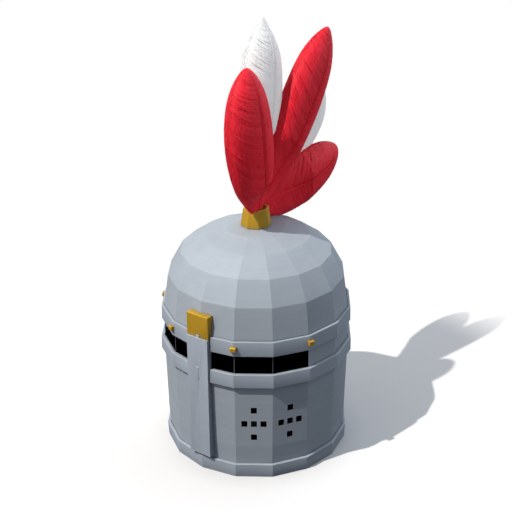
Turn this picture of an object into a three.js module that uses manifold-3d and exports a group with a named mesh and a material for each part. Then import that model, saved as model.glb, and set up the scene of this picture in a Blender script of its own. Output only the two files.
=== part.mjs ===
// A great helm: a closed steel helm in sixteen flats with three raised bands, a nasal bar,
// gilt fittings and a plume of five feathers. Millimetres, +Z up, front towards -Y.
// The origin is the centre of the bottom rim.
import * as THREE from 'three';
import { mergeVertices } from 'three/addons/utils/BufferGeometryUtils.js';
import Module from 'manifold-3d';

const wasm = await Module();
wasm.setup();

// Driving dimensions
const flatCount = 16;
const sheet = 1.6;            // steel sheet of the wall and skull
const gap = 0.3;              // clearance between pieces that touch
const reach = 160;            // half-width that is safely outside the helm
const within = 100;           // distance from the axis that is safely inside the wall
const overlap = 1;            // how far a cutter or a joined piece runs past a face
const weld = 1e-4;            // vertices nearer than this are one

// Outer radius at the corners between flats, and height
const wallOutline = [[122.5, 0], [124, 20], [125.7, 47.4], [127.6, 141.6], [126.4, 197.4]];
const skullOutline = [[126.4, 197.4], [126.2, 209.3], [120, 251.3], [102.5, 283.2], [73.1, 303.6],
  [40, 314.4]];
const seat = { radius: 22, height: 316.4 };            // flat top that carries the plume socket

const rimBand = { bottom: [127.7, 0], top: [128.8, 20] };
const sightBand = { bottom: [132.6, 141.6], top: [132.1, 160.8] };
const browBand = { bottom: [130.7, 187.1], top: [130.2, 207.8] };

const slit = { low: 160.8, high: 187.1, start: 17, web: 1.4, windows: 3 };
const breath = { width: 8, tall: 8.8, across: 12.6, up: 21, height: 83.3, depth: 24, flats: [1, 2] };
const bar = { halfWidth: 16.7, front: 131.8, low: 25.5, high: 204 };
const tab = { halfWidth: 2.5, front: 130.9, height: 3.6 };
const ridge = { halfWidth: 2.2, height: 0.9, root: 0.5 };
const block = { halfWidth: 17, front: 130.2, low: 204.3, high: 236.2 };
const rivet = { width: 8, height: 6.4, root: 125, face: 134.8, edge: 0.7, level: 198.4 };
const socket = { sides: 8, baseRadius: 20.9, topRadius: 17.1, height: 24.6, bore: 14.2, floor: 6 };
const quill = { radius: 1.3, low: 324, high: 345 };

// Feathers: places on the centre line as x, y, z. halfWidth is in the plane of the fan, swell says
// how soon the thickness grows above the quill, peak moves the widest place towards the tip, and
// fullness says how blunt the root and the tip are, where less is blunter.
const feathers = [
  { name: 'feather_front_red', colour: 'red', root: [9, -6, 338], middle: [8, -25, 439],
    tip: [6, -27, 534], halfWidth: 42, swell: 0.012, peak: 1, fullness: [0.37, 0.45] },
  { name: 'feather_middle_red', colour: 'red', root: [3, 3, 338], middle: [2, 86, 440],
    tip: [8, 158, 551], halfWidth: 38.5, swell: 0.0018, peak: 1.35, fullness: [0.36, 0.4] },
  { name: 'feather_back_red', colour: 'red', root: [-1.5, 4, 340], middle: [-2, 104, 347],
    tip: [-2, 205, 364], halfWidth: 39.5, swell: 0.0018, peak: 0.95, fullness: [0.52, 0.36] },
  { name: 'feather_front_white', colour: 'white', root: [-6, 0, 338], middle: [-18, 34, 457],
    tip: [-31, 61, 577], halfWidth: 40, swell: 0.0018, peak: 1.33, fullness: [0.52, 0.45] },
  { name: 'feather_back_white', colour: 'white', root: [-10.5, 2, 338], middle: [-24, 108, 396],
    tip: [-25, 200, 454], halfWidth: 43, swell: 0.0018, peak: 1.5, fullness: [0.42, 0.45] }
];
const thickness = { share: 0.57, atRoot: 1.8 };
const leafSides = 14;
const leafRings = 18;

// Materials
const steel = () => new THREE.MeshStandardMaterial({ color: 0x98a3b1, roughness: 0.42, metalness: 0.85 });
const brass = () => new THREE.MeshStandardMaterial({ color: 0xb98a2c, roughness: 0.38, metalness: 0.9 });
const featherFinish = {
  red: () => new THREE.MeshStandardMaterial({ color: 0xb81426, roughness: 0.75, metalness: 0 }),
  white: () => new THREE.MeshStandardMaterial({ color: 0xe9e8e4, roughness: 0.8, metalness: 0 })
};

// Closed meshes and solids

function toSolid(geometry) {
  const bare = geometry.clone();
  bare.deleteAttribute('normal');
  bare.deleteAttribute('uv');
  const merged = mergeVertices(bare, weld);
  const corners = Array.from(merged.index.array);
  const kept = [];
  for (let i = 0; i < corners.length; i += 3) {
    const [a, b, c] = corners.slice(i, i + 3);
    if (a !== b && b !== c && c !== a) kept.push(a, b, c);
  }
  return new wasm.Manifold(new wasm.Mesh({
    numProp: 3,
    vertProperties: new Float32Array(merged.attributes.position.array),
    triVerts: new Uint32Array(kept)
  }));
}

function toGeometry(solid) {
  const mesh = solid.getMesh();
  const points = [];
  for (let i = 0; i < mesh.vertProperties.length; i += mesh.numProp) {
    points.push(...mesh.vertProperties.slice(i, i + 3));
  }
  const geometry = new THREE.BufferGeometry();
  geometry.setAttribute('position', new THREE.Float32BufferAttribute(points, 3));
  geometry.setIndex(Array.from(mesh.triVerts));
  geometry.computeVertexNormals();
  return geometry;
}

const join = (first, ...others) => others.reduce((sum, part) => sum.add(part), first);
const cut = (first, ...others) => others.reduce((rest, part) => rest.subtract(part), first);

function box(low, high) {
  const size = high.map((value, i) => value - low[i]);
  const geometry = new THREE.BoxGeometry(...size);
  geometry.translate(...low.map((value, i) => value + size[i] / 2));
  return toSolid(geometry);
}

// A body of flats turned from a closed profile of [radius, height], with a corner at the front
function turned(profile, sides = flatCount) {
  const points = profile.map(([radius, height]) => new THREE.Vector2(radius, height));
  points.push(points[0].clone());
  const geometry = new THREE.LatheGeometry(points, sides);
  geometry.rotateX(Math.PI / 2);
  return toSolid(geometry);
}

function prism(outline, low, high) {
  const shape = new THREE.Shape(outline.map(([x, y]) => new THREE.Vector2(x, y)));
  const geometry = new THREE.ExtrudeGeometry(shape, { depth: high - low, bevelEnabled: false });
  geometry.translate(0, 0, low);
  return toSolid(geometry);
}

// Corner k stands at k flats round from the front, towards +X
const cornerAngle = (k) => (k * 2 * Math.PI) / flatCount;
const at = (angle, radius) => [radius * Math.sin(angle), -radius * Math.cos(angle)];

// The outline moved inwards by a depth, square to each slope
function inset(outline, depth) {
  return outline.map(([radius, height], i) => {
    const before = outline[Math.max(i - 1, 0)];
    const after = outline[Math.min(i + 1, outline.length - 1)];
    const slope = new THREE.Vector2(after[0] - before[0], after[1] - before[1]).normalize();
    return [radius - depth * slope.y, height + depth * slope.x];
  });
}

// Everything inside the helm's outer surface, grown by a clearance
function envelope(clearance) {
  const outside = inset([...wallOutline, ...skullOutline.slice(1)], -clearance);
  const top = seat.height + clearance;
  return turned([[0, -overlap], [outside[0][0], -overlap], ...outside, [seat.radius, top], [0, top]]);
}

// Radius of the helm's outer surface at a height
function outlineRadius(height) {
  const outline = [...wallOutline, ...skullOutline.slice(1)];
  const next = Math.max(1, outline.findIndex((point) => point[1] >= height));
  const [low, high] = [outline[next - 1], outline[next]];
  const share = (height - low[1]) / (high[1] - low[1]);
  return low[0] + share * (high[0] - low[0]);
}

// Bands lie over the shell
function band({ bottom, top }) {
  const innerAt = ([, height]) => [outlineRadius(height) + gap, height];
  return turned([bottom, top, innerAt(top), innerAt(bottom)]);
}

// Everything inside a band's outer face, for what sits on it
function bandRoom({ bottom, top }) {
  const [low, high] = [bottom[1] - gap, top[1] + gap];
  return turned([[0, low], [bottom[0] + gap, low], [top[0] + gap, high], [0, high]]);
}

// The upper two bands stop against the bar and the block
const frontGap = (halfWidth) => box([-halfWidth - gap, -reach, 0], [halfWidth + gap, 0, reach * 2]);

// Skull and wall

function skull() {
  const seam = skullOutline[0][1] + gap / 2;
  const outside = skullOutline.map(([radius, height], i) => [radius, i === 0 ? seam : height]);
  const inside = inset(skullOutline, sheet).map(([radius, height], i) => [radius, i === 0 ? seam : height]);
  const under = seat.height - sheet;
  return turned([...outside, [seat.radius, seat.height], [0, seat.height], [0, under],
    [seat.radius, under], ...inside.reverse()]);
}

function wall() {
  const top = wallOutline.length - 1;
  const seam = wallOutline[top][1] - gap / 2;
  const outside = wallOutline.map(([radius, height], i) => [radius, i === top ? seam : height]);
  const inside = inset(wallOutline, sheet).map(([radius], i) => [radius, outside[i][1]]);
  return turned([...outside, ...inside.reverse()]);
}

// One window of the sight between two corners, on the +X side or mirrored to -X
function slitWindow(k, side) {
  const margin = slit.web / 2 / outlineRadius(slit.low);
  const start = cornerAngle(k) + margin;
  const end = cornerAngle(k + 1) - (k + 1 === slit.windows ? 0 : margin);
  const nearBar = [[slit.start, -reach], [slit.start, -within]];
  const nearCorner = [at(start, reach), at(start, within)];
  const outline = [...(k === 0 ? nearBar : nearCorner), at(end, within), at(end, reach)];
  return prism(outline.map(([x, y]) => [side * x, y]), slit.low, slit.high);
}

// A cross of five holes in the middle of a flat
function breathCross(k) {
  const angle = cornerAngle(k + 0.5);
  const places = [[0, 0], [1, 0], [-1, 0], [0, 1], [0, -1]];
  return places.map(([across, up]) => {
    const hole = new THREE.BoxGeometry(breath.width, breath.depth, breath.tall);
    const distance = outlineRadius(breath.height) * Math.cos(cornerAngle(0.5));
    hole.translate(across * breath.across, -distance, breath.height + up * breath.up);
    hole.rotateZ(angle);
    return toSolid(hole);
  });
}

function facePlate() {
  const windows = [];
  for (let k = 0; k < slit.windows; k += 1) windows.push(slitWindow(k, 1), slitWindow(k, -1));
  return cut(wall(), box([-reach, -gap / 2, -overlap], [reach, reach, reach * 2]), ...windows,
    ...breath.flats.flatMap(breathCross));
}

function backPlate() {
  return cut(wall(), box([-reach, -reach, -overlap], [reach, gap / 2, reach * 2]));
}

// Nasal bar and the block on top of it, both fitted over the shell

function nasalBar() {
  const board = box([-bar.halfWidth, -bar.front, bar.low], [bar.halfWidth, -within, bar.high]);
  const tongue = box([-tab.halfWidth, -tab.front, bar.high - overlap],
    [tab.halfWidth, -within, bar.high + tab.height]);
  const crestRoot = -bar.front + ridge.root;
  const crest = prism([[-ridge.halfWidth, crestRoot], [-ridge.halfWidth, -bar.front],
    [0, -bar.front - ridge.height], [ridge.halfWidth, -bar.front], [ridge.halfWidth, crestRoot]],
  sightBand.bottom[1], sightBand.top[1]);
  return cut(join(board, tongue, crest), envelope(gap));
}

function browBlock() {
  const body = box([-block.halfWidth, -block.front, block.low], [block.halfWidth, -within, block.high]);
  const notch = box([-tab.halfWidth - gap, -reach, block.low - overlap],
    [tab.halfWidth + gap, -within, bar.high + tab.height + gap]);
  return cut(body, notch, envelope(gap));
}

// A square head over one corner of the brow band
function rivetHead(k) {
  const square = new THREE.Shape();
  const [w, h] = [rivet.width / 2 - rivet.edge, rivet.height / 2 - rivet.edge];
  square.moveTo(-w, -h).lineTo(w, -h).lineTo(w, h).lineTo(-w, h).closePath();
  const geometry = new THREE.ExtrudeGeometry(square, { depth: rivet.face - rivet.root - rivet.edge,
    bevelThickness: rivet.edge, bevelSize: rivet.edge, bevelSegments: 1 });
  geometry.rotateX(Math.PI / 2);
  geometry.translate(0, -rivet.root, rivet.level);
  geometry.rotateZ(cornerAngle(k));
  return cut(toSolid(geometry), bandRoom(browBand));
}

// Plume

function plumeSocket() {
  const low = seat.height + gap;
  const high = low + socket.height;
  return turned([[0, low], [socket.baseRadius, low], [socket.topRadius, high], [socket.bore, high],
    [socket.bore, low + socket.floor], [0, low + socket.floor]], socket.sides);
}

function socketRoom() {
  const low = seat.height + gap;
  const high = low + socket.height + gap;
  return turned([[0, low], [socket.baseRadius + 2 * gap, low], [socket.topRadius + 2 * gap, high],
    [0, high]], socket.sides);
}

// A sphere drawn out along the feather's centre line into a flattened leaf
function leaf(feather, clearance = 0) {
  const { root, middle, tip, halfWidth, swell, peak, fullness } = feather;
  const [start, centre, end] = [root, middle, tip].map((place) => new THREE.Vector3(...place));
  const handle = centre.clone().multiplyScalar(2).addScaledVector(start, -0.5).addScaledVector(end, -0.5);
  const line = new THREE.QuadraticBezierCurve3(start, handle, end);
  const length = line.getLength();
  const geometry = new THREE.SphereGeometry(1, leafSides, leafRings);
  const spots = geometry.attributes.position;
  for (let i = 0; i < spots.count; i += 1) {
    const spot = new THREE.Vector3().fromBufferAttribute(spots, i);
    const share = (spot.y + 1) / 2;
    const turn = Math.atan2(spot.z, spot.x);
    const atEnd = Math.min(share, 1 - share) < weld;
    const blunt = THREE.MathUtils.lerp(...fullness, share);
    const wide = atEnd ? 0 : halfWidth * Math.sin(Math.PI * share ** peak) ** blunt + clearance;
    const limit = thickness.atRoot + swell * (share * length) ** 2 + clearance;
    const thick = Math.min(wide * thickness.share, limit);
    const along = line.getTangent(share);
    const flatways = new THREE.Vector3(1, 0, 0).cross(along).normalize();
    const through = flatways.clone().cross(along);
    const extra = (share - 0.5) * 2 * clearance;
    const place = line.getPoint(share)
      .addScaledVector(flatways, wide * Math.cos(turn))
      .addScaledVector(through, thick * Math.sin(turn))
      .addScaledVector(along, extra);
    spots.setXYZ(i, place.x, place.y, place.z);
  }
  return toSolid(geometry);
}

function quillStem(feather, clearance = 0) {
  const geometry = new THREE.CylinderGeometry(quill.radius + clearance, quill.radius + clearance,
    quill.high - quill.low, 8);
  geometry.rotateX(Math.PI / 2);
  geometry.translate(feather.root[0], feather.root[1], (quill.low + quill.high) / 2);
  return toSolid(geometry);
}

// Each feather makes room for those in front of it and for every other feather's quill
function plume() {
  const room = [socketRoom(), envelope(gap)];
  return feathers.map((feather) => {
    const others = feathers.filter((other) => other !== feather);
    const body = cut(leaf(feather), ...room, ...others.map((other) => quillStem(other, gap)));
    room.push(leaf(feather, gap));
    return [feather, body.add(quillStem(feather))];
  });
}

// Assembly

const helm = new THREE.Group();

function place(name, solid, material) {
  const mesh = new THREE.Mesh(toGeometry(solid), material);
  mesh.name = name;
  helm.add(mesh);
}

place('skull', skull(), steel());
place('face_plate', facePlate(), steel());
place('back_plate', backPlate(), steel());
place('rim_band', band(rimBand), steel());
place('sight_band', cut(band(sightBand), frontGap(bar.halfWidth)), steel());
place('brow_band', cut(band(browBand), frontGap(block.halfWidth)), steel());
place('nasal_bar', nasalBar(), steel());
place('brow_block', browBlock(), brass());
for (const [name, k] of [['front_right', 1], ['front_left', -1], ['side_right', 3], ['side_left', -3]]) {
  place(`rivet_${name}`, rivetHead(k), brass());
}
place('plume_socket', plumeSocket(), brass());
for (const [feather, solid] of plume()) place(feather.name, solid, featherFinish[feather.colour]());

export default helm;
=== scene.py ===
import math

import bmesh
import bpy
import numpy as np
from mathutils import Matrix, Vector


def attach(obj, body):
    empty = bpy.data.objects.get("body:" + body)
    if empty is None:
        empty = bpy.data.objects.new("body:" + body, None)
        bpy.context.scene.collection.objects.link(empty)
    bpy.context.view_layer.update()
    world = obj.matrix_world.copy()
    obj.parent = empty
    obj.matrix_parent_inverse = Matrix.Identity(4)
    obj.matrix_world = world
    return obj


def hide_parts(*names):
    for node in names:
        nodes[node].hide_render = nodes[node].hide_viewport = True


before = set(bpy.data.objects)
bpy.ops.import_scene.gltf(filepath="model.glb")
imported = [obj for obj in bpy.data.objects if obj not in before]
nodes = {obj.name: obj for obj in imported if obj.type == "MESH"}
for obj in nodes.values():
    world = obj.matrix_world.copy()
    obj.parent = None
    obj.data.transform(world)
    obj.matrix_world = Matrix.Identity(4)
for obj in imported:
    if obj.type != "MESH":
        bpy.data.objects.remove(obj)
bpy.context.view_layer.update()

scene = bpy.context.scene


# camera

cameraSettings = {
    "azimuth": 35.634, "elevation": 24.746, "roll": -0.29,  # degrees
    "distance": 1.4126, "sideways": -0.0002, "height": 0.2695,  # metres, the last two to where it looks
    "lens": 73.68, "sensor": 36.0,  # millimetres
}


def makeCamera(settings):
    azimuth = math.radians(settings["azimuth"])
    elevation = math.radians(settings["elevation"])
    right = Vector((math.cos(azimuth), math.sin(azimuth), 0))
    ahead = Vector((math.sin(azimuth), -math.cos(azimuth), 0))
    away = ahead * math.cos(elevation) + Vector((0, 0, math.sin(elevation)))
    target = right * settings["sideways"] + Vector((0, 0, settings["height"]))
    data = bpy.data.cameras.new("viewCamera")
    data.lens = settings["lens"]
    data.sensor_width = settings["sensor"]
    camera = bpy.data.objects.new("viewCamera", data)
    scene.collection.objects.link(camera)
    turn = away.to_track_quat("Z", "Y").to_matrix().to_4x4()
    roll = Matrix.Rotation(math.radians(settings["roll"]), 4, "Z")
    camera.matrix_world = Matrix.Translation(target + away * settings["distance"]) @ turn @ roll
    return camera


scene.camera = makeCamera(cameraSettings)
print("camera placed")


# node helpers

def feed(tree, socket, value):
    if isinstance(value, bpy.types.NodeSocket):
        tree.links.new(value, socket)
    else:
        socket.default_value = value


def addNode(tree, kind, inputs=None, **options):
    node = tree.nodes.new(kind)
    for name, value in options.items():
        setattr(node, name, value)
    for name, value in (inputs or {}).items():
        feed(tree, node.inputs[name], value)
    return node


def maths(tree, operation, *values, clamp=False):
    node = addNode(tree, "ShaderNodeMath", operation=operation, use_clamp=clamp)
    for socket, value in zip(node.inputs, values):
        feed(tree, socket, value)
    return node.outputs[0]


def vectors(tree, operation, *values):
    node = addNode(tree, "ShaderNodeVectorMath", operation=operation)
    for socket, value in zip(node.inputs, values):
        feed(tree, socket, value)
    return node.outputs["Value" if operation in ("DOT_PRODUCT", "LENGTH") else "Vector"]


def layered(tree, base, *layers, clamp=False):  # a base value, and shares of other values added to it
    for value, share in layers:
        base = maths(tree, "MULTIPLY_ADD", value, share, base, clamp=clamp)
    return base


def joinAxes(tree, x, y, z=0.0):
    return addNode(tree, "ShaderNodeCombineXYZ", {"X": x, "Y": y, "Z": z}).outputs[0]


def splitAxes(tree, value):
    return addNode(tree, "ShaderNodeSeparateXYZ", {"Vector": value}).outputs


def remap(tree, value, low, high, toLow=0.0, toHigh=1.0):
    inputs = {"Value": value, "From Min": low, "From Max": high, "To Min": toLow, "To Max": toHigh}
    return addNode(tree, "ShaderNodeMapRange", inputs, interpolation_type="SMOOTHSTEP").outputs["Result"]


def blendColours(tree, share, first, second):
    node = addNode(tree, "ShaderNodeMix", data_type="RGBA")
    for index, value in ((0, share), (6, first), (7, second)):  # a colour mix reads these sockets
        feed(tree, node.inputs[index], value)
    return node.outputs[2]


def noise(tree, place, scale, detail, roughness=0.55):
    inputs = {"Vector": place, "Scale": scale, "Detail": detail, "Roughness": roughness}
    return addNode(tree, "ShaderNodeTexNoise", inputs).outputs["Fac"]


def attribute(tree, name, output="Fac"):
    return addNode(tree, "ShaderNodeAttribute", attribute_name=name).outputs[output]


def objectPlace(tree):
    return addNode(tree, "ShaderNodeTexCoord").outputs["Object"]


def surfaceNormal(tree):
    return addNode(tree, "ShaderNodeNewGeometry").outputs["Normal"]


def opaque(colour):
    return (*colour, 1.0)


def newMaterial(name):
    material = bpy.data.materials.new(name)
    material.use_nodes = True
    return material, material.node_tree, material.node_tree.nodes["Principled BSDF"]


def newGroup(name, inputs, outputs):
    group = bpy.data.node_groups.new(name, "ShaderNodeTree")
    for label, kind in inputs.items():
        group.interface.new_socket(name=label, in_out="INPUT", socket_type=kind)
    for label, kind in outputs.items():
        group.interface.new_socket(name=label, in_out="OUTPUT", socket_type=kind)
    return group, group.nodes.new("NodeGroupInput").outputs, group.nodes.new("NodeGroupOutput").inputs


def useGroup(tree, group, inputs):
    return addNode(tree, "ShaderNodeGroup", inputs, node_tree=group).outputs


# effects that the finishes share

number, vector = "NodeSocketFloat", "NodeSocketVector"
wrapSettings = {"inside": (-0.15, -0.5)}  # cosines against the way out of the helm
wearSettings = {"samples": 6, "texture": (4.0, 0.55),  # detail and roughness of the noise
                "patches": (0.34, 0.62, 0.35, 1.0)}  # from and to in the noise, and the wear there
grimeAndShadeSettings = {"samples": 6, "texture": (5.0, 0.6), "patches": (0.3, 0.7, 0.45, 1.0)}
brushingSettings = {"detail": 2.0, "coarse": (0.45, 0.3, 0.45), "coarseHeight": 0.6, "coarseTone": 0.5}
hammeringSettings = {"driftScale": 25.0, "drift": 0.02, "smoothness": 0.35}
scratchSettings = {
    "runs": ((0.5, 3.1), (-1.1, 8.7)),  # direction in radians, and a shift that keeps the two sets apart
    "stretch": (22.0, 620.0, 22.0), "line": (0.7, 0.78), "patchScale": 30.0, "patch": (0.5, 0.68),
}


def makeWrapGroup():  # places measured round the helm: metres round, height, and metres out
    group, given, result = newGroup("wrapRoundHelm", {"Radius": number, "Dome Height": number},
                                    {"Wrapped": vector, "Inside": number, "Facing": number})
    split = splitAxes(group, objectPlace(group))
    angle = maths(group, "ARCTAN2", split["X"], split["Y"])
    around = maths(group, "MULTIPLY", angle, given["Radius"])
    out = vectors(group, "LENGTH", joinAxes(group, split["X"], split["Y"]))
    feed(group, result["Wrapped"], joinAxes(group, around, split["Z"], out))
    rise = maths(group, "MAXIMUM", maths(group, "SUBTRACT", split["Z"], given["Dome Height"]), 0.0)
    outward = vectors(group, "NORMALIZE", joinAxes(group, split["X"], split["Y"], rise))
    facing = vectors(group, "DOT_PRODUCT", outward, surfaceNormal(group))
    feed(group, result["Facing"], facing)
    feed(group, result["Inside"], remap(group, facing, *wrapSettings["inside"]))
    return group


def patchyMask(group, given, amount, settings):  # an effect that comes and goes in patches
    cloud = noise(group, objectPlace(group), given["Patch Scale"], *settings["texture"])
    patches = remap(group, cloud, *settings["patches"])
    strong = maths(group, "MULTIPLY", amount, given["Gain"], clamp=True)
    return maths(group, "MULTIPLY", strong, patches, clamp=True)


def makeEdgeWearGroup(settings):  # where handling has polished the edges bright
    inputs = {"Radius": number, "Gain": number, "Patch Scale": number}
    group, given, result = newGroup("edgeWear", inputs, {"Mask": number})
    rounded = addNode(group, "ShaderNodeBevel", {"Radius": given["Radius"]}, samples=settings["samples"])
    straightness = vectors(group, "DOT_PRODUCT", rounded.outputs[0], surfaceNormal(group))
    edge = maths(group, "SUBTRACT", 1.0, straightness)
    feed(group, result["Mask"], patchyMask(group, given, edge, settings))
    return group


def makeGrimeAndShadeGroup(settings):  # dull dirt and painted shade, in the corners under bands and beside fittings
    inputs = {"Distance": number, "Gain": number, "Patch Scale": number}
    group, given, result = newGroup("cornerGrimeAndShade", inputs, {"Mask": number})
    near = addNode(group, "ShaderNodeAmbientOcclusion", {"Distance": given["Distance"]},
                   samples=settings["samples"])
    closed = maths(group, "SUBTRACT", 1.0, near.outputs["AO"])
    feed(group, result["Mask"], patchyMask(group, given, closed, settings))
    return group


def makeBrushingGroup(settings):  # fine parallel lines left by the polishing stone
    group, given, result = newGroup("brushing", {"Vector": vector, "Fine": number, "Length": number},
                                    {"Height": number, "Tone": number})
    stretch = joinAxes(group, given["Length"], given["Fine"], given["Length"])
    wider = vectors(group, "MULTIPLY", stretch, settings["coarse"])
    fine = noise(group, vectors(group, "MULTIPLY", given["Vector"], stretch), 1.0, settings["detail"])
    coarse = noise(group, vectors(group, "MULTIPLY", given["Vector"], wider), 1.0, settings["detail"])
    feed(group, result["Height"], layered(group, fine, (coarse, settings["coarseHeight"])))
    share = settings["coarseTone"]
    feed(group, result["Tone"], layered(group, maths(group, "MULTIPLY", fine, 1 - share), (coarse, share)))
    return group


def makeHammeringGroup(settings):  # shallow overlapping dents of the planishing hammer
    group, given, result = newGroup("hammering", {"Vector": vector, "Scale": number},
                                    {"Height": number, "Dent": number})
    inputs = {"Vector": given["Vector"], "Scale": settings["driftScale"], "Detail": 1.0}
    drift = addNode(group, "ShaderNodeTexNoise", inputs).outputs["Color"]
    moved = vectors(group, "MULTIPLY_ADD", drift, (settings["drift"],) * 3, given["Vector"])
    inputs = {"Vector": moved, "Scale": given["Scale"], "Smoothness": settings["smoothness"]}
    dents = addNode(group, "ShaderNodeTexVoronoi", inputs, feature="SMOOTH_F1")
    feed(group, result["Height"], dents.outputs["Distance"])
    tint = addNode(group, "ShaderNodeSeparateColor", {"Color": dents.outputs["Color"]})
    feed(group, result["Dent"], tint.outputs["Red"])
    return group


def makeScratchGroup(settings):  # sparse thin scratches in two directions
    group, given, result = newGroup("scratches", {"Vector": vector, "Scale": number, "Amount": number},
                                    {"Mask": number})
    found = []
    for turn, shift in settings["runs"]:
        turned = addNode(group, "ShaderNodeVectorRotate", {"Vector": given["Vector"], "Angle": turn})
        shifted = vectors(group, "ADD", turned.outputs[0], (shift,) * 3)
        long = noise(group, vectors(group, "MULTIPLY", shifted, settings["stretch"]), given["Scale"], 1.0)
        patch = noise(group, shifted, settings["patchScale"], 2.0)
        line = remap(group, long, *settings["line"])
        found.append(maths(group, "MULTIPLY", line, remap(group, patch, *settings["patch"])))
    both = maths(group, "MAXIMUM", *found)
    feed(group, result["Mask"], maths(group, "MULTIPLY", both, given["Amount"], clamp=True))
    return group


wrapGroup = makeWrapGroup()
edgeWearGroup = makeEdgeWearGroup(wearSettings)
grimeAndShadeGroup = makeGrimeAndShadeGroup(grimeAndShadeSettings)
brushingGroup = makeBrushingGroup(brushingSettings)
hammeringGroup = makeHammeringGroup(hammeringSettings)
scratchGroup = makeScratchGroup(scratchSettings)
print("surface effects ready")


# steel and gilt brass

plateLook = {
    "colour": (0.32, 0.354, 0.391), "tint": (0.285, 0.319, 0.357), "worn": (0.43, 0.465, 0.51),
    "metallic": 0.28, "specular": 0.35, "roughness": 0.72,
    "brushDepth": 0.04, "dentDepth": 0.06,  # millimetres
    "fine": 700.0, "length": 12.0, "upright": False, "paintedOpeningShade": False,
}
piercedLook = {**plateLook, "worn": (0.42, 0.455, 0.5), "dentDepth": 0.05, "paintedOpeningShade": True}
bandLook = {
    "colour": (0.325, 0.36, 0.405), "tint": (0.29, 0.325, 0.37), "worn": (0.5, 0.54, 0.585),
    "metallic": 0.28, "specular": 0.35, "roughness": 0.68, "brushDepth": 0.04, "dentDepth": 0.04,
    "fine": 900.0, "length": 10.0, "upright": False, "paintedOpeningShade": False,
}
barLook = {**bandLook, "upright": True}
brassLook = {
    "colour": (0.5, 0.29, 0.019), "tint": (0.44, 0.25, 0.014), "worn": (0.66, 0.46, 0.09),
    "metallic": 0.35, "specular": 0.4, "roughness": 0.5, "brushDepth": 0.03, "dentDepth": 0.05,
    "fine": 1200.0, "length": 40.0, "upright": True, "paintedOpeningShade": False,
}
metalSettings = {  # what every metal finish has
    "wrap": {"Radius": 0.126, "Dome Height": 0.2}, "dents": {"Scale": 46.0},
    "scratches": {"Scale": 1.0, "Amount": 0.6},
    "wear": {"Radius": 0.0014, "Gain": 7.0, "Patch Scale": 70.0},
    "grimeAndShade": {"Distance": 0.01, "Gain": 1.2, "Patch Scale": 40.0},
    "cloud": (16.0, 4.0, 0.6),  # scale, detail and roughness of the slow change in tone
    "tones": {"brush": 0.7, "dents": 0.12, "cloud": 0.25, "range": (0.25, 0.8)},
    "shares": {"scratches": 0.5, "grimeAndShade": 0.3},  # how far each one changes the colour
    "rough": {"cloud": 0.08, "wear": -0.12, "grimeAndShade": 0.25, "dark": 0.3},  # what each one adds
    "scratchDepth": 0.03,  # millimetres
    "grimeAndShadeColour": (0.05, 0.046, 0.042), "paintedShadeColour": (0.004, 0.004, 0.005),
}
openingShadeSettings = {
    "lips": (0.5, 0.25),  # cosines against the way out of the helm
    "webs": {"low": 0.1612, "high": 0.1868, "front": 0.249,  # metres up, and round from the back
             "shade": 0.75},
}


def paintedOpeningShade(tree, wrap, settings):  # painted shade, near black, on the cut edges of the openings and on the sight's webs
    split = splitAxes(tree, wrap["Wrapped"])
    webs = settings["webs"]
    above = maths(tree, "GREATER_THAN", split["Y"], webs["low"])
    below = maths(tree, "LESS_THAN", split["Y"], webs["high"])
    ahead = maths(tree, "GREATER_THAN", maths(tree, "ABSOLUTE", split["X"]), webs["front"])
    level = maths(tree, "MULTIPLY", above, below)
    webShade = maths(tree, "MULTIPLY", maths(tree, "MULTIPLY", level, ahead), webs["shade"])
    return maths(tree, "MAXIMUM", remap(tree, wrap["Facing"], *settings["lips"]), webShade)


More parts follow.
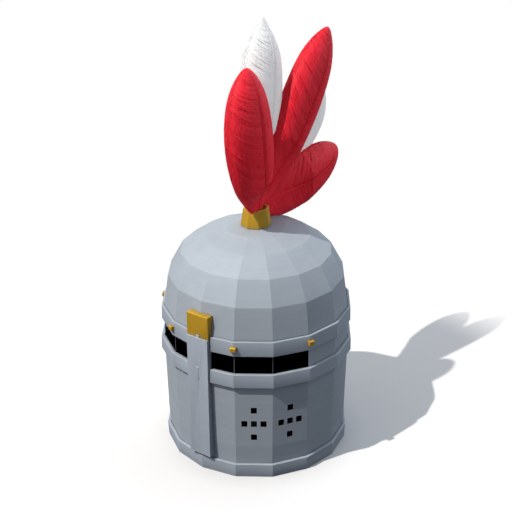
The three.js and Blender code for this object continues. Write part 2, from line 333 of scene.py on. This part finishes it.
def makeMetal(name, look):
    material, tree, shader = newMaterial(name)
    tones, shares, rough = (metalSettings[key] for key in ("tones", "shares", "rough"))
    wrap = useGroup(tree, wrapGroup, metalSettings["wrap"])
    place = grain = wrap["Wrapped"]
    if look["upright"]:
        grain = addNode(tree, "ShaderNodeVectorRotate", {"Vector": place, "Angle": math.pi / 2}).outputs[0]
    brush = useGroup(tree, brushingGroup, {"Vector": grain, "Fine": look["fine"], "Length": look["length"]})
    dents = useGroup(tree, hammeringGroup, {"Vector": place, **metalSettings["dents"]})
    scratch = useGroup(tree, scratchGroup, {"Vector": place, **metalSettings["scratches"]})["Mask"]
    wear = useGroup(tree, edgeWearGroup, metalSettings["wear"])["Mask"]
    grimeAndShade = useGroup(tree, grimeAndShadeGroup, metalSettings["grimeAndShade"])["Mask"]
    cloud = noise(tree, place, *metalSettings["cloud"])
    # painted shade: the helm's inside goes near black, and on the pierced plate so do the cut edges and the
    # sight's webs
    dark = paintedOpeningShade(tree, wrap, openingShadeSettings) if look["paintedOpeningShade"] else wrap["Inside"]

    shade = maths(tree, "MULTIPLY", brush["Tone"], tones["brush"])
    shade = layered(tree, shade, (dents["Dent"], tones["dents"]), (cloud, tones["cloud"]))
    shade = remap(tree, shade, *tones["range"])
    colour = blendColours(tree, shade, opaque(look["tint"]), opaque(look["colour"]))
    bright = maths(tree, "MAXIMUM", wear, maths(tree, "MULTIPLY", scratch, shares["scratches"]))
    colour = blendColours(tree, bright, colour, opaque(look["worn"]))
    # painted shade and dull dirt darken the colour in the corners
    grimeAndShadeShare = maths(tree, "MULTIPLY", grimeAndShade, shares["grimeAndShade"])
    colour = blendColours(tree, grimeAndShadeShare, colour, opaque(metalSettings["grimeAndShadeColour"]))
    colour = blendColours(tree, dark, colour, opaque(metalSettings["paintedShadeColour"]))
    feed(tree, shader.inputs["Base Color"], colour)

    dull = layered(tree, look["roughness"] - rough["cloud"] / 2, (cloud, rough["cloud"]),
                   (wear, rough["wear"]), (grimeAndShade, rough["grimeAndShade"]), (dark, rough["dark"]), clamp=True)
    feed(tree, shader.inputs["Roughness"], dull)
    feed(tree, shader.inputs["Metallic"], maths(tree, "MAXIMUM", dark, look["metallic"]))
    shader.inputs["Specular IOR Level"].default_value = look["specular"]

    height = maths(tree, "MULTIPLY", brush["Height"], look["brushDepth"])
    height = layered(tree, height, (dents["Height"], look["dentDepth"]))
    height = layered(tree, height, (scratch, -metalSettings["scratchDepth"]))
    inputs = {"Height": height, "Distance": 0.001, "Strength": 1.0}  # heights are in millimetres
    bump = addNode(tree, "ShaderNodeBump", inputs)
    feed(tree, shader.inputs["Normal"], bump.outputs[0])
    return material


plateSteel = makeMetal("satinSteelPlate", plateLook)
piercedSteel = makeMetal("satinSteelPierced", piercedLook)
bandSteel = makeMetal("satinSteelBand", bandLook)
barSteel = makeMetal("satinSteelBar", barLook)
giltBrass = makeMetal("giltBrass", brassLook)

metalPieces = {  # the bevel is in metres; whole pieces are flats with no openings cut through them
    "skull": {"finish": plateSteel, "bevel": 0.0005, "whole": True},
    "face_plate": {"finish": piercedSteel, "bevel": 0, "whole": False},
    "back_plate": {"finish": plateSteel, "bevel": 0.0004, "whole": False},
    "rim_band": {"finish": bandSteel, "bevel": 0.0006, "whole": True},
    "sight_band": {"finish": bandSteel, "bevel": 0.0006, "whole": True},
    "brow_band": {"finish": bandSteel, "bevel": 0.0006, "whole": True},
    "nasal_bar": {"finish": barSteel, "bevel": 0.0005, "whole": False},
    "brow_block": {"finish": giltBrass, "bevel": 0.0009, "whole": False},
    "rivet_front_right": {"finish": giltBrass, "bevel": 0.0004, "whole": False},
    "rivet_front_left": {"finish": giltBrass, "bevel": 0.0004, "whole": False},
    "rivet_side_right": {"finish": giltBrass, "bevel": 0.0004, "whole": False},
    "rivet_side_left": {"finish": giltBrass, "bevel": 0.0004, "whole": False},
    "plume_socket": {"finish": giltBrass, "bevel": 0.0007, "whole": False},
}
edgeSettings = {"weld": 0.00003, "flatAngle": 0.6, "bevelAngle": 6, "segments": 3}  # metres, degrees


def finishMetal(name, settings):  # the CAD shape with its edges broken
    piece = nodes[name]
    piece.data.materials.clear()
    piece.data.materials.append(settings["finish"])
    if not settings["bevel"]:  # a cut sheet keeps its flat faces
        piece.data.shade_flat()
        return
    piece.data.shade_smooth()
    weld = piece.modifiers.new("weld", "WELD")
    weld.merge_threshold = edgeSettings["weld"]
    if settings["whole"]:
        flats = piece.modifiers.new("flats", "DECIMATE")
        flats.decimate_type = "DISSOLVE"
        flats.angle_limit = math.radians(edgeSettings["flatAngle"])
    bevel = piece.modifiers.new("brokenEdges", "BEVEL")
    bevel.width = settings["bevel"]
    bevel.segments = edgeSettings["segments"]
    bevel.limit_method = "ANGLE"
    bevel.angle_limit = math.radians(edgeSettings["bevelAngle"])
    bevel.harden_normals = True


for name, settings in metalPieces.items():
    finishMetal(name, settings)
print("metal pieces finished")


# plume

# Each feather's centre line goes by three points, in metres. Swell is how soon it thickens above the quill,
# peak moves its widest place towards the tip, a smaller fullness makes the root or the tip blunter, and
# point draws out the tip.
feathers = {
    "front_red": {"slot": "red_feather", "root": (0.009, -0.006, 0.338),
                  "middle": (0.008, -0.025, 0.439), "tip": (0.006, -0.027, 0.534),
                  "halfWidth": 0.042, "swell": 12.0, "peak": 1.0, "fullness": (0.4, 0.45),
                  "point": 0.12, "seed": 11},
    "middle_red": {"slot": "red_feather", "root": (0.003, 0.003, 0.338),
                   "middle": (0.002, 0.086, 0.440), "tip": (0.008, 0.158, 0.551),
                   "halfWidth": 0.0385, "swell": 1.8, "peak": 1.35, "fullness": (0.36, 0.4),
                   "point": 0.2, "seed": 23},
    "back_red": {"slot": "red_feather", "root": (-0.0015, 0.004, 0.340),
                 "middle": (-0.002, 0.104, 0.347), "tip": (-0.002, 0.205, 0.364),
                 "halfWidth": 0.0395, "swell": 1.8, "peak": 0.95, "fullness": (0.52, 0.36),
                 "point": 0.12, "seed": 37},
    "front_white": {"slot": "white_feather", "root": (-0.006, 0.0, 0.338),
                    "middle": (-0.018, 0.034, 0.457), "tip": (-0.031, 0.061, 0.577),
                    "halfWidth": 0.040, "swell": 1.8, "peak": 1.33, "fullness": (0.52, 0.45),
                    "point": 0.4, "seed": 41},
    "back_white": {"slot": "white_feather", "root": (-0.0105, 0.002, 0.338),
                   "middle": (-0.024, 0.108, 0.396), "tip": (-0.025, 0.200, 0.454),
                   "halfWidth": 0.043, "swell": 1.8, "peak": 1.5, "fullness": (0.42, 0.45),
                   "point": 0.15, "seed": 59},
}
outlineSettings = {
    "thickness": 0.57, "rootThickness": 0.0018,  # share of the half-width, metres
    "pointFrom": 0.75, "least": 0.00001, "slopeStep": 0.002,
}
coreSettings = {"size": 0.955, "tip": 0.985,  # shares of the vane's size and of its length
                "rings": 56, "sides": 28, "tone": 0.6}
lockSettings = {
    "layers": [  # locks of barbs per quarter, from the core outwards; widths and heights in metres
        {"count": 100, "width": 0.0046, "lift": 0.0001, "spread": 0.0001, "sweep": 0.2, "steps": 9,
         "reach": (0.88, 1.16)},
        {"count": 130, "width": 0.0022, "lift": 0.0003, "spread": 0.0002, "sweep": 0.24, "steps": 9,
         "reach": (0.88, 1.16)},
        {"count": 110, "width": 0.0007, "lift": 0.0005, "spread": 0.0006, "sweep": 0.24, "steps": 7,
         "reach": (0.9, 1.22)},
    ],
    "jitter": 0.45, "first": 0.002, "last": 0.985, "end": 0.997,  # shares of the feather's length
    "sweepRange": (0.85, 1.2), "sweepFade": 0.62, "sweepCurve": 1.3,
    "bed": 0.97,  # share of the vane's size where the locks lie
    "sink": 0.0003, "liftCurve": 0.7, "ragged": (-0.2, 1.0),
    "fullSize": 0.02, "leastSize": 0.25,  # half-width where locks are full size, and the least share
    "waves": (3, 6), "turn": 6.3, "wave": 0.0005,  # radians, metres
    "widthRange": (0.75, 1.2), "rootWidth": 0.5, "growth": 1.8, "taper": 3,  # full a little way up
    "ridge": 0.07, "tones": (0.4, 1.0),
}
shaftSettings = {
    "radius": 0.0013, "tipRadius": 0.00035, "rootShare": 0.8, "low": 0.324, "sink": 0.0002,
    "first": 0.02, "last": 0.95, "sides": 7, "steps": 30, "tone": 0.6,
}
helmTop = [  # radius and height, just above the metal
    (0.0, 0.3172), (0.022, 0.3172), (0.04, 0.3152), (0.0731, 0.3046), (0.1025, 0.2842), (0.12, 0.2523),
]
socketRoom = {"radius": 0.0225, "top": 0.3422}


def unit(directions):
    lengths = np.linalg.norm(directions, axis=-1, keepdims=True)
    return directions / np.maximum(lengths, 1e-9)


def scaled(amounts, directions):
    return np.asarray(amounts)[..., None] * directions


def featherShape(feather, share):  # the centre line, its three directions and the size across it
    root, middle, tip = (np.array(feather[key]) for key in ("root", "middle", "tip"))
    handle = 2 * middle - 0.5 * root - 0.5 * tip  # so that the curve passes through the middle
    t = np.clip(share, 0.0, 1.0)
    centre = scaled((1 - t) ** 2, root) + scaled(2 * t * (1 - t), handle) + scaled(t ** 2, tip)
    along = unit(scaled(2 * (1 - t), handle - root) + scaled(2 * t, tip - handle))
    flatways = unit(np.cross((1.0, 0.0, 0.0), along))
    through = np.cross(flatways, along)
    length = np.linalg.norm(handle - root) + np.linalg.norm(tip - handle)
    sharp = np.clip((t - outlineSettings["pointFrom"]) / (1 - outlineSettings["pointFrom"]), 0, 1)
    sharp = sharp ** 2 * (3 - 2 * sharp)
    atRoot, atTip = feather["fullness"]
    blunt = atRoot * (1 - t) + atTip * t + feather["point"] * sharp
    wide = feather["halfWidth"] * np.maximum(np.sin(np.pi * t ** feather["peak"]), 0) ** blunt
    growing = outlineSettings["rootThickness"] + feather["swell"] * (t * length) ** 2
    thick = np.minimum(wide * outlineSettings["thickness"], growing)
    wide, thick = np.maximum(wide, outlineSettings["least"]), np.maximum(thick, outlineSettings["least"])
    return {"centre": centre, "along": along, "flatways": flatways, "through": through,
            "wide": wide, "thick": thick}


def onVane(shape, across, over, size):  # places on the vane's outline, at a share of its size
    flat = scaled(size * shape["wide"] * across, shape["flatways"])
    return shape["centre"] + flat + scaled(size * shape["thick"] * over, shape["through"])


def featherNormal(feather, share, across, over):  # which way the smooth vane faces at a place on it
    step = outlineSettings["slopeStep"]
    here, ahead, behind = (featherShape(feather, share + move) for move in (0, step, -step))
    run = np.linalg.norm(ahead["centre"] - behind["centre"], axis=-1)
    wideSlope = (ahead["wide"] - behind["wide"]) / run
    thickSlope = (ahead["thick"] - behind["thick"]) / run
    flat, deep = here["thick"] * across, here["wide"] * over
    lean = -(flat * across * wideSlope + deep * over * thickSlope)
    facing = scaled(flat, here["flatways"]) + scaled(deep, here["through"])
    return unit(facing + scaled(lean, here["along"]))


def clearOfHelm(points):  # keeps barbs off the skull and out of the socket's brass
    radius = np.hypot(points[:, 0], points[:, 1])
    floor = np.interp(radius, *zip(*helmTop))
    floor = np.where(radius < socketRoom["radius"], socketRoom["top"], floor)
    points[:, 2] = np.maximum(points[:, 2], floor)
    return points


def featherPart(points, faces, lie, barbTone, alongBarb=0.0, shaft=0.0):  # a mesh and its values
    values = {"barbTone": barbTone, "alongBarb": alongBarb, "shaft": shaft}
    spread = {label: np.broadcast_to(value, len(points)) for label, value in values.items()}
    return {"points": points, "faces": faces, "lie": lie, **spread}


def tubeFaces(rows, sides, first=0):
    return [(first + r * sides + s, first + r * sides + (s + 1) % sides,
             first + (r + 1) * sides + (s + 1) % sides, first + (r + 1) * sides + s)
            for r in range(rows - 1) for s in range(sides)]


def circle(sides):
    turn = np.linspace(0, 2 * np.pi, sides, endpoint=False)
    return np.cos(turn)[None, :], np.sin(turn)[None, :]


def makeCore(feather):  # the closed body under the barbs
    rows, sides = coreSettings["rings"] - 1, coreSettings["sides"]
    share = (1 - np.cos(np.linspace(0, np.pi, rows + 2)[1:-1])) / 2
    share = share[:, None]
    across, over = circle(sides)
    shape = featherShape(feather, share)
    points = onVane(shape, across, over, coreSettings["size"])
    ends = featherShape(feather, np.array([0.0, coreSettings["tip"]]))["centre"]
    lie = featherNormal(feather, share, across, over).reshape(-1, 3)
    first, last = rows * sides, rows * sides + 1  # the two end points
    top = (rows - 1) * sides
    faces = tubeFaces(rows, sides)
    faces += [(first, (s + 1) % sides, s) for s in range(sides)]
    faces += [(last, top + s, top + (s + 1) % sides) for s in range(sides)]
    lie = np.concatenate([lie, -shape["along"][0], shape["along"][-1]])
    return featherPart(np.concatenate([points.reshape(-1, 3), ends]), faces, lie, coreSettings["tone"])


def lockLines(feather, layer, s, side, face, random):  # where one quarter's locks run on the core
    count = layer["count"]
    jitter = random.uniform(-lockSettings["jitter"], lockSettings["jitter"], count)
    start = (np.arange(count) + jitter + 0.5) / count * lockSettings["last"]
    start = np.clip(start, lockSettings["first"], lockSettings["last"])[:, None]
    sweep = layer["sweep"] * random.uniform(*lockSettings["sweepRange"], (count, 1))
    sweep = sweep * (1 - start) ** lockSettings["sweepFade"]
    share = np.minimum(start + sweep * s ** lockSettings["sweepCurve"], lockSettings["end"])
    turn = np.pi / 2 * (1 - s * random.uniform(*layer["reach"], (count, 1)))
    across, over = side * np.cos(turn), face * np.sin(turn)
    shape = featherShape(feather, share)
    normal = featherNormal(feather, share, across, over)
    rise = layer["lift"] * s ** lockSettings["liftCurve"] - lockSettings["sink"] * (1 - s) ** 2
    rise = rise + random.uniform(*lockSettings["ragged"], (count, 1)) * layer["spread"] * s ** 2
    size = np.clip(shape["wide"] / lockSettings["fullSize"], lockSettings["leastSize"], 1)
    line = onVane(shape, across, over, lockSettings["bed"])
    return line + scaled(rise * size, normal), normal, size


def lockBodies(layer, s, line, normal, size, random):  # four-sided locks round their lines
    count = layer["count"]
    sideways = unit(np.cross(unit(np.gradient(line, axis=1)), normal))
    phase = s * random.uniform(*lockSettings["waves"], (count, 1))
    phase = phase + random.uniform(0, lockSettings["turn"], (count, 1))
    line = line + scaled(np.sin(phase) * lockSettings["wave"] * s, sideways)
    width = layer["width"] * random.uniform(*lockSettings["widthRange"], (count, 1)) * size
    width = width * (1 - s ** lockSettings["taper"])
    width = width * np.clip(lockSettings["rootWidth"] + lockSettings["growth"] * s, 0, 1)
    half = scaled(width / 2, sideways)
    bulge = scaled(width * lockSettings["ridge"], normal)
    rings = np.stack([line - half, line + bulge, line + half, line - bulge], axis=2)[:, :-1]
    return np.concatenate([rings.reshape(count, -1, 3), line[:, -1:]], axis=1)


def lockFaces(rows):  # one lock's faces: four-sided rings, a point at the tip and a closed root
    tip, top = rows * 4, (rows - 1) * 4
    faces = [(r * 4 + c, r * 4 + c + 4, r * 4 + (c + 1) % 4 + 4, r * 4 + (c + 1) % 4)
             for r in range(rows - 1) for c in range(4)]
    faces += [(top + c, tip, top + (c + 1) % 4) for c in range(4)]
    return faces + [(0, 1, 2, 3)]


def makeLocks(feather, layer, random):
    count, rows = layer["count"], layer["steps"] - 1
    s = np.linspace(0, 1, layer["steps"])[None, :]
    corners = rows * 4 + 1
    points, lie, tones = [], [], []
    for side, face in ((1, 1), (1, -1), (-1, 1), (-1, -1)):
        line, normal, size = lockLines(feather, layer, s, side, face, random)
        points.append(lockBodies(layer, s, line, normal, size, random).reshape(-1, 3))
        facing = np.concatenate([np.repeat(normal[:, :-1], 4, axis=1), normal[:, -1:]], axis=1)
        lie.append(facing.reshape(-1, 3))
        tones.append(np.repeat(random.uniform(*lockSettings["tones"], count), corners))
    locks = 4 * count
    faces = [tuple(n * corners + i for i in face) for n in range(locks) for face in lockFaces(rows)]
    alongBarb = np.tile(np.append(np.repeat(s[0, :-1], 4), 1.0), locks)
    return featherPart(np.concatenate(points), faces, np.concatenate(lie), np.concatenate(tones), alongBarb)


def makeShaft(feather):  # the quill in its socket, and the shaft along both faces
    settings = shaftSettings
    sides, radius = settings["sides"], settings["radius"]
    root = np.array(feather["root"])
    low = np.array((root[0], root[1], settings["low"]))
    share = np.linspace(settings["first"], settings["last"], settings["steps"])
    shape = featherShape(feather, share)
    taper = np.linspace(radius * settings["rootShare"], settings["tipRadius"], settings["steps"])
    radii = np.concatenate([[radius] * 3, taper])
    rows = len(radii)
    across, over = circle(sides)
    points, faces, lie = [], [], []
    for face in (1, -1):
        out = face * (lockSettings["bed"] * shape["thick"] - settings["sink"])
        ridge = shape["centre"] + scaled(out, shape["through"])
        line = np.concatenate([[low, (low + root) / 2, root], ridge])
        tangent = unit(np.gradient(line, axis=0))
        sideways = unit(np.cross(tangent, (0.0, 1.0, 0.0)) + 1e-6)
        upright = np.cross(tangent, sideways)
        spokes = scaled(across, sideways[:, None]) + scaled(over, upright[:, None])
        first = len(points) * rows * sides
        end = first + (rows - 1) * sides
        points.append((line[:, None] + radii[:, None, None] * spokes).reshape(-1, 3))
        lie.append(unit(spokes).reshape(-1, 3))
        faces += tubeFaces(rows, sides, first)
        faces.append(tuple(first + s for s in reversed(range(sides))))
        faces.append(tuple(end + s for s in range(sides)))
    return featherPart(np.concatenate(points), faces, np.concatenate(lie), settings["tone"], shaft=1.0)


def joinParts(name, parts):
    faces, first = [], 0
    for part in parts:
        faces += [tuple(first + i for i in face) for face in part["faces"]]
        first += len(part["points"])
    mesh = bpy.data.meshes.new(name)
    mesh.from_pydata(np.concatenate([part["points"] for part in parts]).tolist(), [], faces)
    for label, kind, slot in (("lie", "FLOAT_VECTOR", "vector"), ("barbTone", "FLOAT", "value"),
                              ("alongBarb", "FLOAT", "value"), ("shaft", "FLOAT", "value")):
        values = np.concatenate([part[label] for part in parts]).astype(np.float32)
        mesh.attributes.new(label, kind, "POINT").data.foreach_set(slot, values.ravel())
    mesh.shade_smooth()
    mesh.validate()
    work = bmesh.new()
    work.from_mesh(mesh)
    bmesh.ops.recalc_face_normals(work, faces=work.faces)
    work.to_mesh(mesh)
    work.free()
    return mesh


def makeFeather(name, feather):
    random = np.random.default_rng(feather["seed"])
    parts = [makeCore(feather)] + [makeLocks(feather, layer, random) for layer in lockSettings["layers"]]
    for part in parts:
        part["points"] = clearOfHelm(part["points"])
    parts.append(makeShaft(feather))
    piece = bpy.data.objects.new(name, joinParts(name, parts))
    scene.collection.objects.link(piece)
    return piece


featherFinishes = {
    "red_feather": {"deep": (0.62, 0.003, 0.01), "mid": (0.78, 0.01, 0.022), "light": (0.88, 0.028, 0.05),
                    "shaft": (0.8, 0.012, 0.028), "roughness": 0.5, "specular": 0.15,
                    "sheen": 0.02, "sheenTint": (1.0, 0.2, 0.25), "smoothness": 0.85, "glow": 0.06},
    "white_feather": {"deep": (0.575, 0.571, 0.562), "mid": (0.635, 0.631, 0.624),
                      "light": (0.66, 0.656, 0.65), "shaft": (0.62, 0.606, 0.575),
                      "roughness": 0.6, "specular": 0.3,
                      "sheen": 0.1, "sheenTint": (1.0, 1.0, 1.0), "smoothness": 0.9, "glow": 0.38},
}
barbSettings = {
    "fine": 700.0, "detail": 2.0, "fineShare": 0.35, "lockShare": 0.6,
    "rootShade": (0.0, 0.5, 0.85, 1.0),  # from and to along the lock, and the tone there
    "deepRange": (0.0, 0.55), "lightRange": (0.5, 1.0),
    "roughShare": 0.15, "sheenRoughness": 0.5, "bumpDistance": 0.0006, "bumpStrength": 0.35,
}


def makeBarbGroup(settings):  # tone of one lock, darker where it starts, with single barbs drawn along it
    group, given, result = newGroup("barbTones", {"Fine": number}, {"Tone": number, "Height": number})
    fine = noise(group, objectPlace(group), given["Fine"], settings["detail"])
    start = remap(group, attribute(group, "alongBarb"), *settings["rootShade"])
    share = settings["lockShare"]
    tone = maths(group, "MULTIPLY_ADD", attribute(group, "barbTone"), share, 1 - share)
    uneven = maths(group, "SUBTRACT", fine, 0.5)
    tone = maths(group, "MULTIPLY", tone, start)
    feed(group, result["Tone"], layered(group, tone, (uneven, settings["fineShare"]), clamp=True))
    feed(group, result["Height"], fine)
    return group


barbGroup = makeBarbGroup(barbSettings)


def makeFeatherMaterial(name, finish):
    material, tree, shader = newMaterial(name)
    barbs = useGroup(tree, barbGroup, {"Fine": barbSettings["fine"]})
    pale = remap(tree, barbs["Tone"], *barbSettings["lightRange"])
    colour = blendColours(tree, remap(tree, barbs["Tone"], *barbSettings["deepRange"]),
                          opaque(finish["deep"]), opaque(finish["mid"]))
    colour = blendColours(tree, pale, colour, opaque(finish["light"]))
    colour = blendColours(tree, attribute(tree, "shaft"), colour, opaque(finish["shaft"]))
    feed(tree, shader.inputs["Base Color"], colour)
    feed(tree, shader.inputs["Emission Color"], colour)
    feed(tree, shader.inputs["Roughness"],
         maths(tree, "MULTIPLY_ADD", barbs["Height"], barbSettings["roughShare"], finish["roughness"]))
    shader.inputs["Emission Strength"].default_value = finish["glow"]  # painted glow: the barbs give off light in their own colour, which lifts their shaded side
    shader.inputs["Sheen Weight"].default_value = finish["sheen"]
    shader.inputs["Sheen Roughness"].default_value = barbSettings["sheenRoughness"]
    shader.inputs["Sheen Tint"].default_value = opaque(finish["sheenTint"])
    shader.inputs["Specular IOR Level"].default_value = finish["specular"]
    own = (1 - finish["smoothness"],) * 3
    vane = vectors(tree, "MULTIPLY_ADD", surfaceNormal(tree), own, attribute(tree, "lie", "Vector"))
    vane = vectors(tree, "NORMALIZE", vane)  # one smooth surface, with a little of each lock's own
    inputs = {"Height": barbs["Height"], "Distance": barbSettings["bumpDistance"],
              "Strength": barbSettings["bumpStrength"], "Normal": vane}
    bump = addNode(tree, "ShaderNodeBump", inputs)
    feed(tree, shader.inputs["Normal"], bump.outputs[0])
    return material


featherMaterials = {slot: makeFeatherMaterial(slot + "Barbs", finish)
                    for slot, finish in featherFinishes.items()}
for name, feather in feathers.items():
    plumage = makeFeather("plumage_" + name, feather)
    plumage.data.materials.append(featherMaterials[feather["slot"]])
    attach(plumage, "root")
    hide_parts("feather_" + name)
    print("plumage", name, len(plumage.data.polygons), "faces")


# floor, light and background

floorSettings = {
    "radius": 8.0, "segments": 96, "roughness": 0.9,
    "seen": (0.602, 0.595, 0.592), "bounce": (0.06, 0.06, 0.065),  # in view, and for the light it throws
    "under": {"radius": 0.121, "edge": 0.002, "colour": (0.004, 0.004, 0.004)},  # painted shade: the floor inside the rim goes near black
    "contact": (0.122, 0.165, 0.93, 1.0),  # painted contact shade: metres from the axis, and the share of the floor's colour left there
    "fade": (0.41, 0.57),  # metres from the axis, where the floor turns into the backdrop
}
lightSettings = {
    "travel": (0.2265, 0.5335, -0.815), "angle": 0.8,  # the way sunlight goes, and its spread in degrees
    "strength": 4.1, "colour": (1.0, 0.975, 0.92),
    "dusk": (0.02, 0.022, 0.026),  # from everywhere
    "panels": [  # soft panels of light: where they stand, how far they spread as cosines, and their colour
        {"from": (-0.696, -0.696, 0.174), "spread": (0.0, 0.95), "colour": (0.9, 0.87, 0.9)},
        {"from": (0.0, -0.985, 0.174), "spread": (0.0, 0.95), "colour": (0.12, 0.16, 0.22)},
        {"from": (0.696, 0.696, 0.174), "spread": (0.2, 1.0), "colour": (0.4, 0.44, 0.52)},
        {"from": (0.0, 0.97, 0.243), "spread": (0.0, 0.95), "colour": (1.25, 1.36, 1.45)},
    ],
}
backdrop = (1.0, 1.0, 1.0)


def cameraRay(tree):
    return addNode(tree, "ShaderNodeLightPath").outputs["Is Camera Ray"]


def makeFloorMaterial(settings):
    material, tree, shader = newMaterial("paleFloor")
    under = settings["under"]
    away = vectors(tree, "LENGTH", objectPlace(tree))
    seen = cameraRay(tree)
    colour = blendColours(tree, seen, opaque(settings["bounce"]), opaque(settings["seen"]))
    # painted contact shade: the floor darkens towards the helm's foot
    close = remap(tree, away, *settings["contact"])
    lit = addNode(tree, "ShaderNodeVectorMath", {0: colour, "Scale": close}, operation="SCALE").outputs[0]
    # painted shade: near black on the floor inside the rim
    outside = remap(tree, away, under["radius"] - under["edge"], under["radius"])
    feed(tree, shader.inputs["Base Color"], blendColours(tree, outside, opaque(under["colour"]), lit))
    shader.inputs["Roughness"].default_value = settings["roughness"]
    shader.inputs["Specular IOR Level"].default_value = 0.0
    gone = maths(tree, "MULTIPLY", remap(tree, away, *settings["fade"]), seen)
    glow = addNode(tree, "ShaderNodeEmission", {"Color": opaque(backdrop)})
    mixed = addNode(tree, "ShaderNodeMixShader", {0: gone, 1: shader.outputs[0], 2: glow.outputs[0]})
    feed(tree, tree.nodes["Material Output"].inputs["Surface"], mixed.outputs[0])
    return material


def makeFloor(settings):
    work = bmesh.new()
    bmesh.ops.create_circle(work, cap_ends=True, segments=settings["segments"], radius=settings["radius"])
    mesh = bpy.data.meshes.new("floor")
    work.to_mesh(mesh)
    work.free()
    mesh.materials.append(makeFloorMaterial(settings))
    floor = bpy.data.objects.new("floor", mesh)
    scene.collection.objects.link(floor)


def makeSun(settings):
    lamp = bpy.data.lights.new("softSun", "SUN")
    lamp.energy = settings["strength"]
    lamp.angle = math.radians(settings["angle"])
    lamp.color = settings["colour"]
    sun = bpy.data.objects.new("softSun", lamp)
    sun.rotation_euler = Vector(settings["travel"]).to_track_quat("-Z", "Y").to_euler()
    scene.collection.objects.link(sun)


def makeSky(settings):
    world = bpy.data.worlds.new("softSky")
    world.use_nodes = True
    scene.world = world
    tree = world.node_tree
    background = tree.nodes["Background"]
    direction = addNode(tree, "ShaderNodeTexCoord").outputs["Generated"]
    sky = settings["dusk"]
    for panel in settings["panels"]:
        share = remap(tree, vectors(tree, "DOT_PRODUCT", direction, panel["from"]), *panel["spread"])
        sky = vectors(tree, "MULTIPLY_ADD", share, panel["colour"], sky)
    feed(tree, background.inputs["Color"], blendColours(tree, cameraRay(tree), sky, opaque(backdrop)))
    background.inputs["Strength"].default_value = 1.0


scene.view_settings.view_transform = "Standard"
makeFloor(floorSettings)
makeSun(lightSettings)
makeSky(lightSettings)
print("stage lit")
